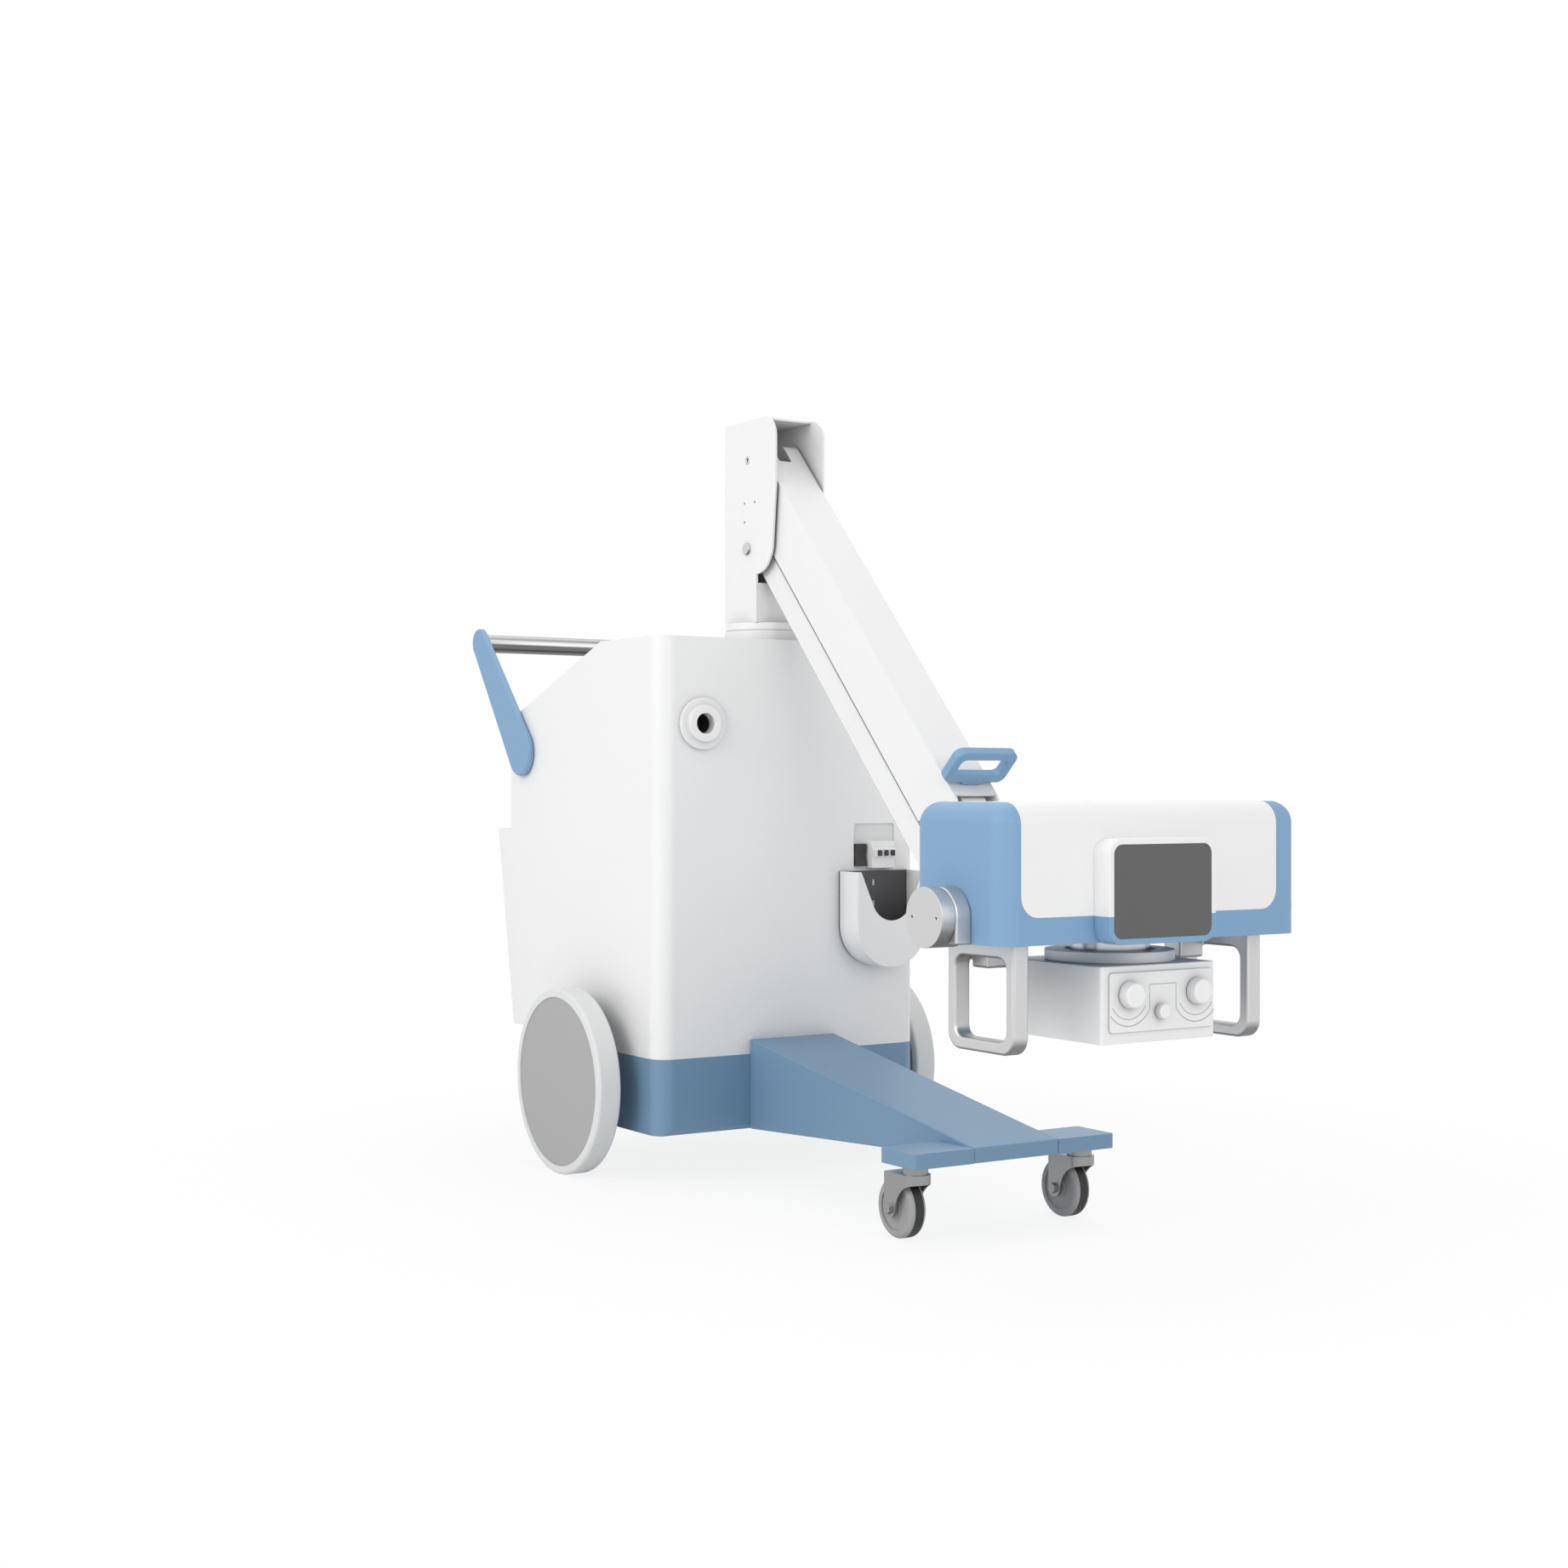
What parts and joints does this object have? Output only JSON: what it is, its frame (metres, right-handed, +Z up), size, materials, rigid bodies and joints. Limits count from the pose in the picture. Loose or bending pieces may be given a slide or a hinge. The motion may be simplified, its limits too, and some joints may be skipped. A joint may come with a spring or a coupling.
{
  "type": "portable x-ray machine",
  "caption": "Mobile x-ray machine: wheeled cabinet with push bar and cassette bin, swivelling column, parallelogram arm and tilting tube head with collimator.",
  "frame": {"origin": "on the floor, in the middle of the machine's length and width with the arm parked", "axes": "+Z up, the tube head points to -Y and the push bar is at +Y, and the cradle is on the +X side"},
  "size_m": [0.76, 1.8408, 1.43],
  "materials": {
    "white_paint": "smooth powder coat, satin",
    "blue_paint": "smooth powder coat, satin",
    "blue_plastic": "fine moulded satin",
    "white_plastic": "moulded, soft gloss",
    "grey_plastic": "moulded, matte",
    "dark_plastic": "moulded, matte",
    "screen": "dark display glass",
    "clear_window": "clear plastic window",
    "silver_metal": "satin aluminium",
    "dark_metal": "dark grey sheet, satin",
    "chrome": "polished chrome plate",
    "wheel_grey": "moulded grey disc",
    "pale_rubber": "light grey non-marking rubber",
    "dark_rubber": "dark grey rubber tread"
  },
  "bodies": {
    "chassis": {"cabinet": "white_paint", "skirt": "blue_paint", "leg": "blue_paint", "foot_wings": "blue_paint", "rear_axle": "silver_metal", "collar_base": "white_paint", "console_panel": "grey_plastic", "console_screen": "screen", "cassette_bin": "white_plastic", "handle_arm_left": "blue_plastic", "handle_arm_right": "blue_plastic", "push_bar": "chrome", "cable_socket": "white_paint", "switch_panel": "grey_plastic", "rocker_switch": "dark_plastic", "breaker": "white_plastic", "breaker_toggles": "dark_plastic", "cradle": "white_paint", "cradle_back": "dark_metal"},
    "column": {"collar_top": "white_paint", "column_post": "white_paint", "column_plate_left": "white_paint", "column_plate_right": "white_paint", "column_bridge": "white_paint", "upper_pins": "silver_metal"},
    "main_arm": {"main_arm": "white_paint", "arm_grip": "blue_plastic", "arm_end_pin": "silver_metal"},
    "lower_link": {"lower_link": "white_paint"},
    "knuckle": {"knuckle": "white_paint", "link_end_pin": "silver_metal"},
    "head": {"head_bracket": "white_paint", "tilt_pin": "silver_metal", "head_body": "blue_plastic", "head_cover": "white_plastic", "screen_pod": "white_plastic", "screen_glass": "screen", "head_ears": "silver_metal", "head_discs": "silver_metal", "loop_left": "silver_metal", "loop_right": "silver_metal", "collimator_neck": "chrome"},
    "collimator": {"collimator_flange": "white_paint", "collimator_box": "white_paint", "collimator_panel": "white_paint", "collimator_knobs": "white_plastic", "collimator_window": "clear_window"},
    "rear_wheel_left": {"rear_tyre_left": "pale_rubber", "rear_disc_left": "wheel_grey"},
    "caster_left": {"caster_fork_left": "chrome"},
    "caster_roller_left": {"caster_wheel_left": "dark_rubber"},
    "rear_wheel_right": {"rear_tyre_right": "pale_rubber", "rear_disc_right": "wheel_grey"},
    "caster_right": {"caster_fork_right": "chrome"},
    "caster_roller_right": {"caster_wheel_right": "dark_rubber"}
  },
  "joints": [
    {"name": "column_swivel", "type": "hinge", "parent": "chassis", "child": "column", "pos_m": [0, 0.23492, 1.01], "axis": [0, 0, 1], "range_deg": [-30, 30]},
    {"name": "arm_lift", "type": "hinge", "parent": "column", "child": "main_arm", "pos_m": [0, 0.20941, 1.355], "axis": [-1, 0, 0], "range_deg": [0, 72]},
    {"name": "link_follow", "type": "hinge", "parent": "column", "child": "lower_link", "pos_m": [0, 0.20941, 1.186], "axis": [-1, 0, 0], "range_deg": [0, 72]},
    {"name": "knuckle_level", "type": "hinge", "parent": "main_arm", "child": "knuckle", "pos_m": [0, -0.40941, 0.69601], "axis": [-1, 0, 0], "range_deg": [-72, 0]},
    {"name": "head_tilt", "type": "hinge", "parent": "knuckle", "child": "head", "pos_m": [0, -0.60842, 0.60601], "axis": [-1, 0, 0], "range_deg": [-20, 90]},
    {"name": "collimator_turn", "type": "hinge", "parent": "head", "child": "collimator", "pos_m": [0, -0.77341, 0.48301], "axis": [0, 0, 1], "range_deg": [-45, 45]},
    {"name": "rear_wheel_left_roll", "type": "hinge", "parent": "chassis", "child": "rear_wheel_left", "pos_m": [-0.357, 0.37041, 0.175], "axis": [1, 0, 0], "continuous": true},
    {"name": "caster_left_swivel", "type": "hinge", "parent": "chassis", "child": "caster_left", "pos_m": [-0.171, -0.49808, 0.124], "axis": [0, 0, 1], "continuous": true},
    {"name": "caster_left_roll", "type": "hinge", "parent": "caster_left", "child": "caster_roller_left", "pos_m": [-0.171, -0.46109, 0.05], "axis": [1, 0, 0], "continuous": true},
    {"name": "rear_wheel_right_roll", "type": "hinge", "parent": "chassis", "child": "rear_wheel_right", "pos_m": [0.357, 0.37041, 0.175], "axis": [1, 0, 0], "continuous": true},
    {"name": "caster_right_swivel", "type": "hinge", "parent": "chassis", "child": "caster_right", "pos_m": [0.171, -0.49808, 0.124], "axis": [0, 0, 1], "continuous": true},
    {"name": "caster_right_roll", "type": "hinge", "parent": "caster_right", "child": "caster_roller_right", "pos_m": [0.171, -0.46109, 0.05], "axis": [1, 0, 0], "continuous": true}
  ],
  "couplings": [
    {"joint": "link_follow", "follows": "arm_lift", "ratio": 1},
    {"joint": "knuckle_level", "follows": "arm_lift", "ratio": -1}
  ]
}
